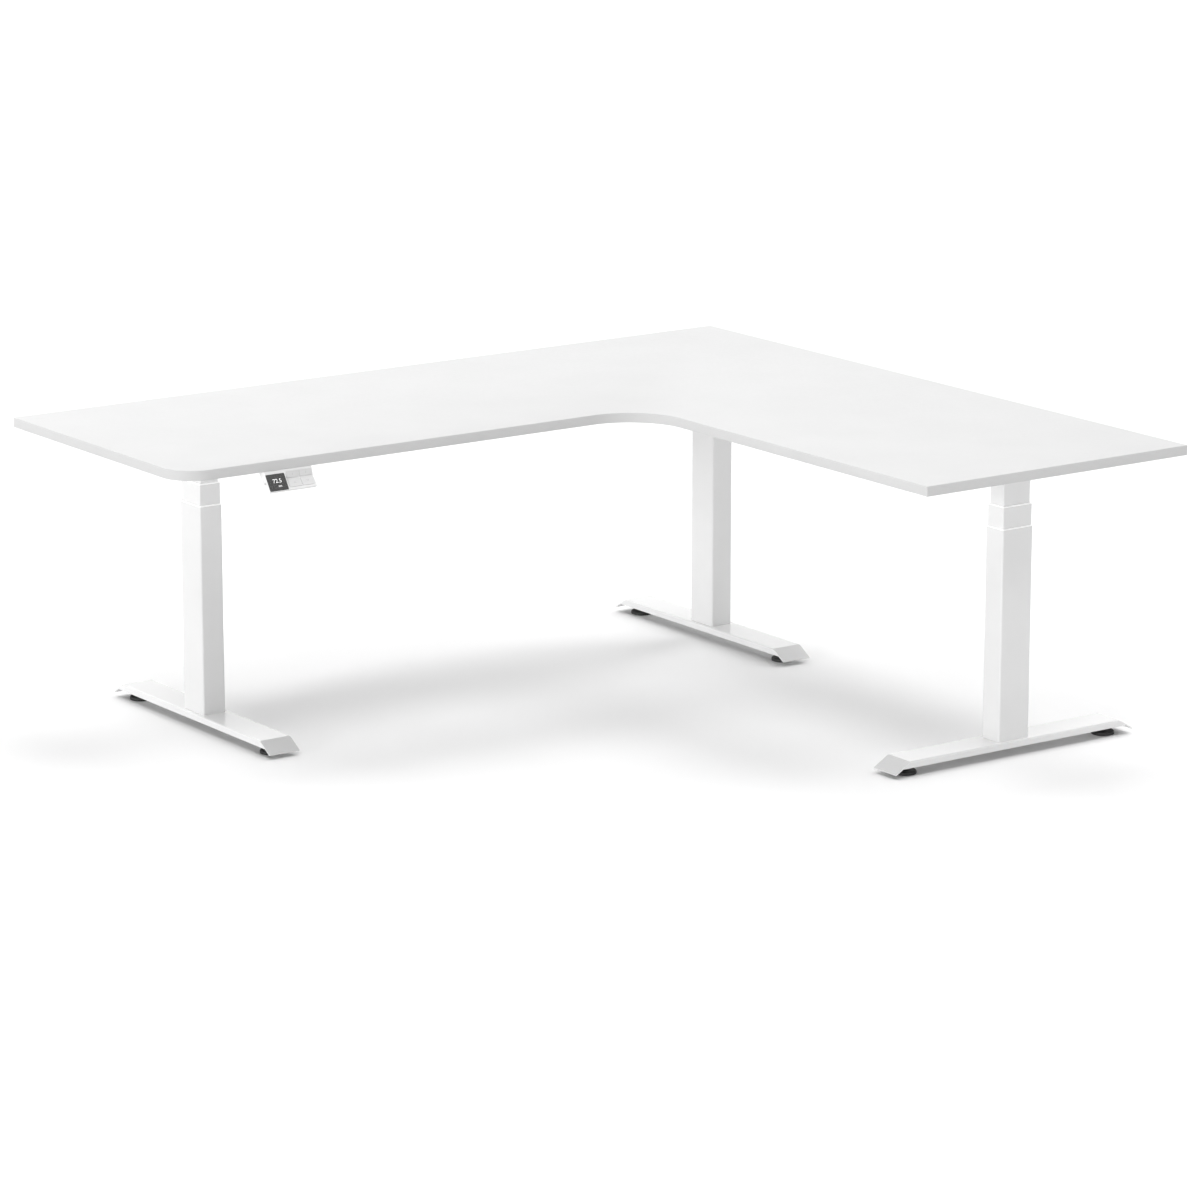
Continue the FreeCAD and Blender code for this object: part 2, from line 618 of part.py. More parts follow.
def handset_case():
    """Thin wedge under the front edge with a sloping display and a creased block of keys."""
    side = [(HANDSET_BACK, UNDERSIDE), (MAIN_FRONT - 2.0, UNDERSIDE), FACE_TOP, FACE_BOTTOM,
            (FACE_BOTTOM[0] + 2.5, FACE_BOTTOM[1] - 4.0), (MAIN_FRONT - 1.0, UNDERSIDE - 34.0),
            (MAIN_FRONT + 16.0, UNDERSIDE - 14.0), (MAIN_FRONT + 22.0, UNDERSIDE - SHEET),
            (HANDSET_BACK, UNDERSIDE - SHEET)]
    case = round_edges(prism_x(side, HANDSET_X), 1.0, Vector(1, 0, 0))
    clear = KEYS_BOTTOM[0] - 30.0
    above = [KEYS_TOP, RIDGE, KEYS_BOTTOM, (clear, KEYS_BOTTOM[1]), (clear, KEYS_TOP[1])]
    step = prism_x(above, (KEYS_X[0] - 2.0, HANDSET_X[1] + 1.0))
    pockets = [key(name, KEY_GAP) for name in KEYS]
    port_y = MAIN_FRONT - 12.0
    port_z = UNDERSIDE - 28.0
    port = box((HANDSET_X[0] - 1, HANDSET_X[0] + PORT[2]), (port_y, port_y + PORT[0]),
               (port_z, port_z + PORT[1]))
    screws = [rod(SCREW_HOLE, (UNDERSIDE - 50, UNDERSIDE + 1), at) for at in handset_screws()]
    return cut_all(case, [step, end_tool(), display()] + pockets + [port] + screws)


# ---- top ----------------------------------------------------------------------------
WOOD_SCREW_RADIUS = 2.0
WOOD_SCREW_DEPTH = 13.5


def arc(centre, radius, start, end):
    middle = (start + end) / 2
    points = [Vector(centre[0] + radius * math.cos(math.radians(a)),
                     centre[1] + radius * math.sin(math.radians(a)), UNDERSIDE)
              for a in (start, middle, end)]
    return Part.Arc(*points).toShape()


def top_outline(inset):
    """L-shaped slab, drawn a little smaller all round by inset."""
    left, right = LEFT + inset, RIGHT - inset
    front, back = FRONT + inset, BACK - inset
    edge_y, edge_x = MAIN_FRONT + inset, RETURN_LEFT + inset
    convex, hollow = FRONT_RADIUS - inset, INNER_RADIUS + inset
    corner = arc((left + convex, edge_y + convex), convex, 180, 270)
    inner = arc((edge_x - hollow, edge_y - hollow), hollow, 90, 0)
    stops = [Vector(left + convex, edge_y, UNDERSIDE), Vector(edge_x - hollow, edge_y, UNDERSIDE)]
    rest = [Vector(edge_x, edge_y - hollow, UNDERSIDE), Vector(edge_x, front, UNDERSIDE),
            Vector(right, front, UNDERSIDE), Vector(right, back, UNDERSIDE),
            Vector(left, back, UNDERSIDE), Vector(left, edge_y + convex, UNDERSIDE)]
    lines = [Part.makeLine(a, b) for a, b in zip(rest, rest[1:])]
    wire = Part.Wire([corner, Part.makeLine(*stops), inner] + lines)
    return Part.Face(wire).extrude(Vector(0, 0, BOARD))


def screw_points():
    points = [leg_point(leg, ARM_MIDDLE, v) for leg in LEGS for v in ARM_SCREWS]
    return points + control_ears() + handset_screws()


def top_screw(at):
    seat = UNDERSIDE - SHEET
    head = rod(4.5, (seat - 2.2, seat), at)
    head = head.makeFillet(1.4, [e for e in head.Edges
                                 if len(e.Vertexes) == 1 and e.BoundBox.ZMax < seat - 1])
    shank = rod(WOOD_SCREW_RADIUS, (seat, UNDERSIDE + WOOD_SCREW_DEPTH), at)
    return head.fuse(shank).removeSplitter()


def tabletop():
    pilot = (UNDERSIDE - 1, UNDERSIDE + WOOD_SCREW_DEPTH + 0.5)
    holes = [rod(WOOD_SCREW_RADIUS + 0.1, pilot, at) for at in screw_points()]
    return cut_all(top_outline(BAND), holes)


# ---- build --------------------------------------------------------------------------
def build_leg(leg):
    pad_v = FOOT_HALF - PAD_INSET
    pieces = {
        "foot": foot_channel(),
        "outer_tube": outer_tube(),
        "lower_guide": guide_bush(OUTER, MIDDLE, OUTER_TOP),
        "nut_post": nut_post(),
        "middle_tube": middle_tube(),
        "upper_guide": guide_bush(MIDDLE, INNER, MIDDLE_TOP),
        "nut_tube": nut_tube(),
        "inner_tube": inner_tube(),
        "drive_screw": drive_screw(),
        "drive_housing": drive_housing(),
        "motor": motor(),
        "support_arm": support_arm(),
    }
    for v, place in zip((-pad_v, pad_v), LEGS[leg][2]):
        pieces["pad_" + place] = levelling_pad(v)
    for name, shape in pieces.items():
        save("%s_%s" % (leg, name), at_leg(shape, leg))


def build_fasteners():
    pad_v = FOOT_HALF - PAD_INSET
    nuts = [at_leg(pad_nut(v), leg) for leg in LEGS for v in (-pad_v, pad_v)]
    bolts = [at_leg(base_bolt(at), leg) for leg in LEGS for at in BASE_BOLTS]
    save("pad_nuts", Part.makeCompound(nuts))
    save("base_bolts", Part.makeCompound(bolts))
    save("frame_bolts", Part.makeCompound(frame_bolts()))
    save("top_screws", Part.makeCompound([top_screw(at) for at in screw_points()]))


def main():
    os.makedirs("parts", exist_ok=True)
    for leg in LEGS:
        build_leg(leg)
    build_fasteners()
    save("tabletop", tabletop())
    save("edge_band", top_outline(0.0).cut(top_outline(BAND)))
    save("main_rail_front", main_rail(-1))
    save("main_rail_back", main_rail(1))
    save("return_rail_left", return_rail(-1))
    save("return_rail_right", return_rail(1))
    save("corner_plate", corner_plate())
    save("control_box", control_box())
    save("handset_case", handset_case())
    save("handset_display", display())
    for name in KEYS:
        save(name, key(name))


main()
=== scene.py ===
"""The looks of an L-shaped electric standing desk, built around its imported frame. Metres."""
import bmesh
import bpy
import json
from math import cos, pi, radians, sin
from mathutils import Matrix, Vector

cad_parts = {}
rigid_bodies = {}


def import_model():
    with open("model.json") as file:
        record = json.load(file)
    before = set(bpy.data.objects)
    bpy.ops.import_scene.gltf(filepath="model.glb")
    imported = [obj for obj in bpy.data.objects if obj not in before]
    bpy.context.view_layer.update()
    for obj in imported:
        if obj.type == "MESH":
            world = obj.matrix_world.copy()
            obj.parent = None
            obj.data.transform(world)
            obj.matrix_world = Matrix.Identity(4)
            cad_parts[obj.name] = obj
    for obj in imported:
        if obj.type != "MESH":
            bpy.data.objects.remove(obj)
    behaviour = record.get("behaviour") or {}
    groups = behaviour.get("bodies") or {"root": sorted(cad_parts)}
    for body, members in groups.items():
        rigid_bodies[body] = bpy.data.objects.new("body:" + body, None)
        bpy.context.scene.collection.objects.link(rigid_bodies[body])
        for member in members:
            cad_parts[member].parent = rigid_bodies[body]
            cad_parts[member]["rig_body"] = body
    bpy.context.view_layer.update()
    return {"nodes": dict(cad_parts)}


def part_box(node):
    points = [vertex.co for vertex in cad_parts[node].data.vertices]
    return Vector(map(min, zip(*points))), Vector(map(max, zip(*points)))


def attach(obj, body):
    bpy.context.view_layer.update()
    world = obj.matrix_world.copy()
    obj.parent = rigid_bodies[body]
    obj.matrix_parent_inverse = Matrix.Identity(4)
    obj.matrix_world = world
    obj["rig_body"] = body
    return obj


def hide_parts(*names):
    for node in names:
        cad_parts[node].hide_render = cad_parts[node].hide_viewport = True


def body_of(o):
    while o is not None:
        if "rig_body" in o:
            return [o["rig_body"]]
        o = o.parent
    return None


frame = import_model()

scene = bpy.context.scene
nodes = frame["nodes"]
MM = 0.001
LEGS = ("left", "corner", "return")
PADS = [name for name in nodes if "_pad_" in name]

# ---- camera, floor and light --------------------------------------------------------
CAMERA_PLACE = (-6.688, -9.4265, 3.1326)
CAMERA_TURN = 35.439       # degrees from +Y towards +X
CAMERA_DOWN = 13.715
CAMERA_ROLL = 0.025
CAMERA_LENS = 148.98
SENSOR_WIDTH = 36.0        # mm
FAR_CLIP = 200.0
FLOOR_HALF = 60.0


def add_camera():
    turn, down = radians(CAMERA_TURN), radians(CAMERA_DOWN)
    ahead = Vector((sin(turn) * cos(down), cos(turn) * cos(down), -sin(down)))
    side = Vector((cos(turn), -sin(turn), 0))
    view = Matrix((side, side.cross(ahead), -ahead)).transposed().to_4x4()
    data = bpy.data.cameras.new("camera")
    data.sensor_width = SENSOR_WIDTH
    data.lens = CAMERA_LENS
    data.clip_end = FAR_CLIP
    camera = bpy.data.objects.new("camera", data)
    roll = Matrix.Rotation(radians(CAMERA_ROLL), 4, "Z")
    camera.matrix_world = Matrix.Translation(CAMERA_PLACE) @ view @ roll
    scene.collection.objects.link(camera)
    scene.camera = camera


def add_floor():
    mesh = bpy.data.meshes.new("floor")
    far = FLOOR_HALF
    corners = [(-far, -far, 0), (far, -far, 0), (far, far, 0), (-far, far, 0)]
    mesh.from_pydata(corners, [], [(0, 1, 2, 3)])
    floor = bpy.data.objects.new("floor", mesh)
    scene.collection.objects.link(floor)
    return floor


def add_sun(name, power, spread, turn, height):
    """A far, soft light; turn is the way it comes from, in degrees from -Y towards +X."""
    data = bpy.data.lights.new(name, "SUN")
    data.energy = power
    data.angle = radians(spread)
    sun = bpy.data.objects.new(name, data)
    turn, height = radians(turn), radians(height)
    source = Vector((sin(turn) * cos(height), -cos(turn) * cos(height), sin(height)))
    sun.rotation_euler = source.to_track_quat("Z", "Y").to_euler()
    scene.collection.objects.link(sun)


WORLD_LIGHT = 0.34         # what the surroundings give the desk
WORLD_SEEN = 1.0           # how bright they look, straight on and in reflections
WHITE = (1.0, 1.0, 1.0, 1.0)
SUNS = {                   # power, spread, turn from -Y towards +X, height
    "softbox_above_1": (0.16, 24.0, 45.0, 62.0),
    "softbox_above_2": (0.16, 24.0, 135.0, 62.0),
    "softbox_above_3": (0.16, 24.0, 225.0, 62.0),
    "softbox_above_4": (0.16, 24.0, 315.0, 62.0),
    "softbox_left": (0.50, 22.0, -76.0, 7.0),
    "softbox_right": (0.33, 40.0, 90.0, 35.0),
    "softbox_back": (0.33, 40.0, 180.0, 35.0),
}


def add_studio():
    """White surroundings that look brighter than they light the desk, and the soft lights."""
    world = bpy.data.worlds.new("studio")
    scene.world = world
    world.use_nodes = True
    tree = world.node_tree
    background = tree.nodes["Background"]
    background.inputs["Color"].default_value = WHITE
    path = tree.nodes.new("ShaderNodeLightPath")
    seen = tree.nodes.new("ShaderNodeMath")
    seen.operation = "MAXIMUM"
    strength = tree.nodes.new("ShaderNodeMapRange")
    strength.inputs["To Min"].default_value = WORLD_LIGHT
    strength.inputs["To Max"].default_value = WORLD_SEEN
    tree.links.new(path.outputs["Is Camera Ray"], seen.inputs[0])
    tree.links.new(path.outputs["Is Glossy Ray"], seen.inputs[1])
    tree.links.new(seen.outputs["Value"], strength.inputs["Value"])
    tree.links.new(strength.outputs["Result"], background.inputs["Strength"])
    for name, (power, spread, turn, height) in SUNS.items():
        add_sun(name, power * pi, spread, turn, height)
    scene.view_settings.view_transform = "Standard"


# ---- materials ----------------------------------------------------------------------
NOISE_MIDDLE = (0.3, 0.7)  # where nearly all of a noise texture's values lie


class Finish:
    """Principled material with colour, roughness and bump from noise in the object's own space."""

    def __init__(self, name, roughness=0.5, metallic=0.0, specular=0.5, coat=0.0):
        self.material = bpy.data.materials.new(name)
        self.material.use_nodes = True
        self.tree = self.material.node_tree
        self.shader = self.tree.nodes["Principled BSDF"]
        self.shader.inputs["Roughness"].default_value = roughness
        self.shader.inputs["Metallic"].default_value = metallic
        self.shader.inputs["Specular IOR Level"].default_value = specular
        self.shader.inputs["Coat Weight"].default_value = coat
        self.place = self.tree.nodes.new("ShaderNodeTexCoord").outputs["Object"]

    def noise(self, scale, detail=2.0, stretch=(1.0, 1.0, 1.0)):
        mapping = self.tree.nodes.new("ShaderNodeMapping")
        mapping.inputs["Scale"].default_value = stretch
        self.tree.links.new(self.place, mapping.inputs["Vector"])
        texture = self.tree.nodes.new("ShaderNodeTexNoise")
        texture.inputs["Scale"].default_value = scale
        texture.inputs["Detail"].default_value = detail
        self.tree.links.new(mapping.outputs["Vector"], texture.inputs["Vector"])
        return texture.outputs["Fac"]

    def span(self, value, low, high):
        """Map the middle of a noise onto low to high."""
        spread = self.tree.nodes.new("ShaderNodeMapRange")
        spread.inputs["From Min"].default_value = NOISE_MIDDLE[0]
        spread.inputs["From Max"].default_value = NOISE_MIDDLE[1]
        spread.inputs["To Min"].default_value = low
        spread.inputs["To Max"].default_value = high
        self.tree.links.new(value, spread.inputs["Value"])
        return spread.outputs["Result"]

    def colour(self, value, dark, light):
        mix = self.tree.nodes.new("ShaderNodeMix")
        mix.data_type = "RGBA"
        mix.inputs["A"].default_value = (*dark, 1.0)
        mix.inputs["B"].default_value = (*light, 1.0)
        self.tree.links.new(self.span(value, 0.0, 1.0), mix.inputs["Factor"])
        self.tree.links.new(mix.outputs["Result"], self.shader.inputs["Base Color"])
        return self

    def rough(self, value, low, high):
        self.tree.links.new(self.span(value, low, high), self.shader.inputs["Roughness"])
        return self

    def bump(self, value, height, strength=1.0):
        bump = self.tree.nodes.new("ShaderNodeBump")
        bump.inputs["Strength"].default_value = strength
        bump.inputs["Distance"].default_value = height
        self.tree.links.new(value, bump.inputs["Height"])
        before = self.shader.inputs["Normal"]
        if before.is_linked:
            self.tree.links.new(before.links[0].from_socket, bump.inputs["Normal"])
        self.tree.links.new(bump.outputs["Normal"], before)
        return self


def grey(value):
    return (value, value, value)


def laminate(name, level):
    """Matt white melamine: faint cloudiness and a very fine pressed grain."""
    look = Finish(name, specular=0.2)
    look.colour(look.noise(6.0, 4.0), grey(level * 0.985), grey(level * 1.012))
    look.rough(look.noise(90.0, 3.0), 0.5, 0.6)
    return look.bump(look.noise(1400.0), 0.03 * MM, 0.5).material


def powder_coat(name, level, lacquer=0.0):
    """Powder coat with a shallow orange peel, under a clear lacquer where the gloss is high."""
    look = Finish(name, specular=0.5, coat=lacquer)
    look.colour(look.noise(9.0, 3.0), grey(level * 0.985), grey(level * 1.01))
    look.rough(look.noise(60.0, 3.0), 0.14, 0.2)
    look.bump(look.noise(420.0, 1.0), 0.03 * MM, 0.3)
    return look.bump(look.noise(1900.0, 1.0), 0.01 * MM, 0.4).material


def moulded(name, level, roughness, height=0.03, painted_glow=0.0):
    """Injection-moulded plastic with a spark-eroded texture; the emission strength argument is painted
    light, a glow that brightens the part though it is no lamp.
    """
    look = Finish(name, specular=0.45)
    look.shader.inputs["Emission Color"].default_value = WHITE
    look.shader.inputs["Emission Strength"].default_value = painted_glow
    look.colour(look.noise(14.0, 3.0), grey(level * 0.96), grey(level * 1.03))
    look.rough(look.noise(150.0, 3.0), roughness - 0.05, roughness + 0.05)
    return look.bump(look.noise(2200.0, 3.0), height * MM, 0.6).material


def steel(name, level, roughness, stretch):
    """Zinc-plated or turned steel with fine tool marks."""
    look = Finish(name, metallic=1.0)
    look.colour(look.noise(40.0, 4.0), grey(level * 0.9), grey(level * 1.05))
    look.rough(look.noise(300.0, 4.0, stretch), roughness - 0.08, roughness + 0.1)
    return look.bump(look.noise(900.0, 2.0, stretch), 0.02 * MM, 0.4).material


def screen(name, level):
    """Dark glossy window."""
    look = Finish(name, specular=0.5, coat=0.3)
    look.shader.inputs["Coat Roughness"].default_value = 0.08
    look.colour(look.noise(60.0, 2.0), grey(level * 0.95), grey(level * 1.05))
    return look.rough(look.noise(200.0, 2.0), 0.22, 0.3).material


DIGIT_GLOW = 0.45


def lit(name, level):
    """Figures lit from behind."""
    look = Finish(name, roughness=0.5)
    look.colour(look.noise(400.0, 2.0), grey(level * 0.9), grey(level))
    look.rough(look.noise(300.0, 2.0), 0.4, 0.5)
    look.shader.inputs["Emission Color"].default_value = WHITE
    look.shader.inputs["Emission Strength"].default_value = DIGIT_GLOW
    return look.material


FINISHES = {
    "top_board": laminate("white_laminate", 0.63),
    "top_band": laminate("white_edge_band", 0.625),
    "frame_paint": powder_coat("white_powder_coat", 0.82),
    # The guide rims carry a faint emission: a painted highlight so their edges read as bright lines in
    # the shade under the top.
    "guide_plastic": moulded("white_guide", 0.95, 0.3, painted_glow=0.25),
    "pad_plastic": moulded("black_pad", 0.022, 0.55, 0.05),
    "drive_steel": steel("turned_steel", 0.55, 0.32, (0.2, 0.2, 3.0)),
    "fastener_steel": steel("zinc_steel", 0.62, 0.34, (1.0, 1.0, 1.0)),
    "housing_plastic": moulded("pale_housing", 0.70, 0.5, 0.05),
    "motor_can": steel("drawn_can", 0.5, 0.38, (3.0, 0.3, 0.3)),
    "control_plastic": moulded("pale_case", 0.66, 0.5, 0.05),
    "handset_plastic": moulded("white_case", 0.84, 0.42),
    "key_plastic": moulded("light_keys", 0.70, 0.45),
    "display_glass": screen("dark_glass", 0.022),
}
SCREEN = screen("dark_screen", 0.03)
DIGITS = lit("lit_digits", 0.8)
PRINT = moulded("grey_print", 0.5, 0.5)
# The feet take a lighter copy of the frame's powder coat: painted light against the shade under the
# desk, under a real clear lacquer.
FOOT_PAINTED_LIGHT = powder_coat("painted_light_powder_coat", 0.84, lacquer=1.0)
# A darker copy of the powder coat for the sloping foot flaps: painted shade, not a different paint.
FLAP_PAINTED_SHADE = powder_coat("painted_shade_powder_coat", 0.60)


def paint_frame():
    for name, node in nodes.items():
        for place in node.material_slots:
            place.material = FINISHES[place.material.name.split(".")[0]]


FLOOR_GREY = 0.935         # as the camera sees it
FLOOR_MOTTLE = 0.005
FLOOR_BOUNCE = 0.79        # what the floor gives back onto the desk


def add_floor_finish(floor):
    """Pale floor that looks a little lighter than it lights the desk."""
    look = Finish("pale_floor", roughness=1.0, specular=0.0)
    dark, light = grey(FLOOR_GREY - FLOOR_MOTTLE), grey(FLOOR_GREY + FLOOR_MOTTLE)
    look.colour(look.noise(0.7, 2.0), dark, light)
    tree, shown = look.tree, look.shader.outputs["BSDF"]
    dull = tree.nodes.new("ShaderNodeBsdfDiffuse")
    dull.inputs["Color"].default_value = (*grey(FLOOR_BOUNCE), 1.0)
    path = tree.nodes.new("ShaderNodeLightPath")
    choice = tree.nodes.new("ShaderNodeMixShader")
    tree.links.new(path.outputs["Is Diffuse Ray"], choice.inputs["Fac"])
    tree.links.new(shown, choice.inputs[1])
    tree.links.new(dull.outputs["BSDF"], choice.inputs[2])
    tree.links.new(choice.outputs["Shader"], tree.nodes["Material Output"].inputs["Surface"])
    floor.data.materials.append(look.material)


# ---- pieces -------------------------------------------------------------------------
SLOT_OF = {name: node.material_slots[0].material.name.split(".")[0] for name, node in nodes.items()}
SAME_SPOT = 0.001 * MM
SMOOTH_UP_TO = radians(32)     # steeper edges shade sharp
EASE_FROM = radians(28)        # steeper edges are rounded
FLAT_UP_TO = radians(0.4)      # flatter edges are merged away


def add_piece(name, mesh, node, material=None, stands_for=()):
    """A new piece that rides where the node does and takes its slot."""
    piece = bpy.data.objects.new(name, mesh)
    scene.collection.objects.link(piece)
    slot = SLOT_OF[node]
    mesh.materials.append(material or FINISHES[slot])
    if stands_for:
        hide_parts(*stands_for)
    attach(piece, body_of(nodes[node])[0])
    return piece


def to_mesh(name, shape):
    bmesh.ops.recalc_face_normals(shape, faces=shape.faces)
    mesh = bpy.data.meshes.new(name)
    shape.to_mesh(mesh)
    shape.free()
    for face in mesh.polygons:
        face.use_smooth = True
    mesh.set_sharp_from_angle(angle=SMOOTH_UP_TO)
    return mesh


def ease(piece, width, segments=2):
    """Round the piece's sharp edges."""
    bevel = piece.modifiers.new("eased", "BEVEL")
    bevel.width = width
    bevel.segments = segments
    bevel.limit_method = "ANGLE"
    bevel.angle_limit = EASE_FROM
    bevel.harden_normals = True
    weights = piece.modifiers.new("flat_faces", "WEIGHTED_NORMAL")
    weights.keep_sharp = True


def eased_copy(node, width):
    """The node again, with whole flat faces and eased edges."""
    shape = bmesh.new()
    shape.from_mesh(nodes[node].data)
    bmesh.ops.remove_doubles(shape, verts=shape.verts, dist=SAME_SPOT)
    bmesh.ops.dissolve_limit(shape, angle_limit=FLAT_UP_TO, verts=shape.verts, edges=shape.edges)
    name = node + "_eased"
    ease(add_piece(name, to_mesh(name, shape), node, stands_for=(node,)), width)


# Widths of the rounded edges, in mm: first the parts of every leg, then the rest.
EASED = {"foot": 0.5, "outer_tube": 0.3, "middle_tube": 0.3, "inner_tube": 0.3,
         "drive_housing": 0.5, "support_arm": 0.4}
EASED_SHARED = {"main_rail_front": 0.3, "main_rail_back": 0.3, "return_rail_left": 0.3,
                "return_rail_right": 0.3, "corner_plate": 0.4, "control_box": 0.4,
                "handset_case": 0.35, "handset_display": 0.15, "key_memory_1": 0.35,
                "key_memory_2": 0.35, "key_up": 0.35, "key_down": 0.35}


def ease_frame():
    for leg in LEGS:
        for part, width in EASED.items():
            eased_copy("%s_%s" % (leg, part), width * MM)
    for node, width in EASED_SHARED.items():
        eased_copy(node, width * MM)


# ---- top ----------------------------------------------------------------------------
def middle_of(node):
    low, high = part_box(node)
    return (low + high) / 2


TOP_LOW, TOP_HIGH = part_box("edge_band")
MAIN_FRONT = 2 * middle_of("left_outer_tube").y - TOP_HIGH.y      # each leg stands mid-wing
RETURN_LEFT = 2 * middle_of("return_outer_tube").x - TOP_HIGH.x
FRONT_RADIUS = 80 * MM
INNER_RADIUS = 150 * MM
CORNER_RADIUS = 1.5 * MM
SMALLEST_RADIUS = 0.1 * MM
BAND = 1.0 * MM
BAND_LAP = 0.02 * MM           # how far the band reaches in under the board's edge
ARRIS = 0.8 * MM
BOARD_ARRIS = 0.15 * MM
FRONT_STEPS, INNER_STEPS, CORNER_STEPS = 40, 60, 6


def arc(centre, radius, start, end, steps):
    angles = [radians(start + (end - start) * k / steps) for k in range(steps + 1)]
    return [Vector((centre[0] + radius * cos(a), centre[1] + radius * sin(a))) for a in angles]


def top_loop(inset):
    """Outline of the top, drawn inwards by inset."""
    left, right = TOP_LOW.x, TOP_HIGH.x
    front, back = TOP_LOW.y, TOP_HIGH.y
    free_corner = (left + FRONT_RADIUS, MAIN_FRONT + FRONT_RADIUS)
    hollow = (RETURN_LEFT - INNER_RADIUS, MAIN_FRONT - INNER_RADIUS)
    loop = arc(free_corner, FRONT_RADIUS - inset, 180, 270, FRONT_STEPS)
    loop += arc(hollow, INNER_RADIUS + inset, 90, 0, INNER_STEPS)
    c = CORNER_RADIUS
    small = max(c - inset, SMALLEST_RADIUS)
    sharp = ((RETURN_LEFT, front, 180), (right, front, 270), (right, back, 0), (left, back, 90))
    for x, y, start in sharp:
        centre = (x + (c if x < right else -c), y + (c if y < back else -c))
        loop += arc(centre, small, start, start + 90, CORNER_STEPS)
    return loop


def skin(shape, rings):
    """Quads between rings of equal length; returns the rings' vertices."""
    rows = [[shape.verts.new((p.x, p.y, z)) for p in loop] for loop, z in rings]
    for low, high in zip(rows, rows[1:]):
        for k in range(len(low)):
            n = (k + 1) % len(low)
            shape.faces.new((low[k], low[n], high[n], high[k]))
    return rows


def arris_rings(inset, radius, bottom, top, steps=3):
    """Rings up the side of a slab with rounded edges above and below."""
    low = [(inset + radius * (1 - sin(a)), bottom + radius * (1 - cos(a)))
           for a in (pi / 2 * k / steps for k in range(steps + 1))]
    high = [(d, top + bottom - z) for d, z in reversed(low)]
    return low + high


def add_top():
    bottom, top = TOP_LOW.z, TOP_HIGH.z
    board = bmesh.new()
    rings = arris_rings(BAND, BOARD_ARRIS, bottom, top, 2)
    rows = skin(board, [(top_loop(d), z) for d, z in rings])
    board.faces.new(rows[0][::-1])
    board.faces.new(rows[-1])
    add_piece("top_board", to_mesh("top_board", board), "tabletop", stands_for=("tabletop",))
    band = bmesh.new()
    inner = BAND - BAND_LAP
    rings = [(inner, bottom)] + arris_rings(0.0, ARRIS, bottom, top) + [(inner, top)]
    rows = skin(band, [(top_loop(d), z) for d, z in rings])
    for k in range(len(rows[0])):
        n = (k + 1) % len(rows[0])
        band.faces.new((rows[-1][k], rows[-1][n], rows[0][n], rows[0][k]))
    mesh = to_mesh("top_edge_band", band)
    add_piece("top_edge_band", mesh, "edge_band", stands_for=("edge_band",))


# ---- rims of the telescopic tubes ---------------------------------------------------
SLIDER_CORNER = 2.5 * MM
RIM_CORNER = {"lower": 5.0 * MM, "upper": 2.5 * MM}
RIM_HEIGHT = 2.0 * MM
RIM_SLOPE = 0.5 * MM
RIM_GAP = 0.06 * MM
RIM_WALL = 1.5 * MM            # what the rim stands on, the wall of the holding tube
LINER_GAP = 0.3 * MM
LIP = (0.3 * MM, 0.2 * MM)     # chamfer at the rim's outer edge
THROAT = (1.0 * MM, 0.4 * MM)  # where the liner closes in on the sliding tube, below the ledge
ROUNDED_STEPS = 8


def section(node, below):
    """Middle and half sizes in plan of the part of a node under a height."""
    spots = [v.co for v in nodes[node].data.vertices if v.co.z < below]
    lows = [min(p[k] for p in spots) for k in (0, 1)]
    highs = [max(p[k] for p in spots) for k in (0, 1)]
    return [(a + b) / 2 for a, b in zip(lows, highs)], [(b - a) / 2 for a, b in zip(lows, highs)]


def rounded_loop(middle, half, radius):
    """Outline of a rectangle with rounded corners."""
    loop = []
    for sx, sy, start in ((1, 1, 0), (-1, 1, 90), (-1, -1, 180), (1, -1, 270)):
        centre = (middle[0] + sx * (half[0] - radius), middle[1] + sy * (half[1] - radius))
        loop += arc(centre, radius, start, start + 90, ROUNDED_STEPS)
    return loop


def add_rim(leg, stage, slider):
    """Guide bush whose rim slopes in to wipe the sliding tube."""
    node = "%s_%s_guide" % (leg, stage)
    low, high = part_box(node)
    middle, inner = section("%s_%s_tube" % (leg, slider), high.z)
    wide = (high.x - low.x) / 2 - inner[0]
    wall = wide - RIM_WALL
    brow = high.z - RIM_SLOPE
    ledge = high.z - RIM_HEIGHT
    profile = [(RIM_GAP, high.z), (wide - LIP[0], brow + LIP[1]), (wide, brow), (wide, ledge),
               (wall, ledge), (wall, low.z), (LINER_GAP, low.z),
               (LINER_GAP, ledge - THROAT[0]), (RIM_GAP, ledge - THROAT[1])]
    rings = []
    for out, z in profile + profile[:1]:
        radius = SLIDER_CORNER + (RIM_CORNER[stage] - SLIDER_CORNER) * out / wide
        rings.append((rounded_loop(middle, [h + out for h in inner], radius), z))
    shape = bmesh.new()
    skin(shape, rings)
    bmesh.ops.remove_doubles(shape, verts=shape.verts, dist=SAME_SPOT)
    add_piece(node + "_wiper", to_mesh(node + "_wiper", shape), node, stands_for=(node,))


# ---- feet and pads ------------------------------------------------------------------
PAINTED_SHADE_SLOPE = (0.6, 0.95)       # upward part of a flap's normal; faces in this range get painted shade


def coat_foot(piece):
    """Glossy coat a touch lighter than the frame's, which is painted light; the end flaps get a greyer
    copy, painted shade for how they slope.
    """
    piece.data.materials[0] = FOOT_PAINTED_LIGHT
    piece.data.materials.append(FLAP_PAINTED_SHADE)
    for face in piece.data.polygons:
        if PAINTED_SHADE_SLOPE[0] < abs(face.normal.z) < PAINTED_SHADE_SLOPE[1]:
            face.material_index = 1


PAD_STEPS = 96
RIB_DEPTH = 0.5 * MM
THREAD_PITCH = 1.0 * MM
THREAD_DEPTH = 0.6 * MM
DISC_TOP, NECK_TOP, STUD_RADIUS = 9 * MM, 14 * MM, 4 * MM


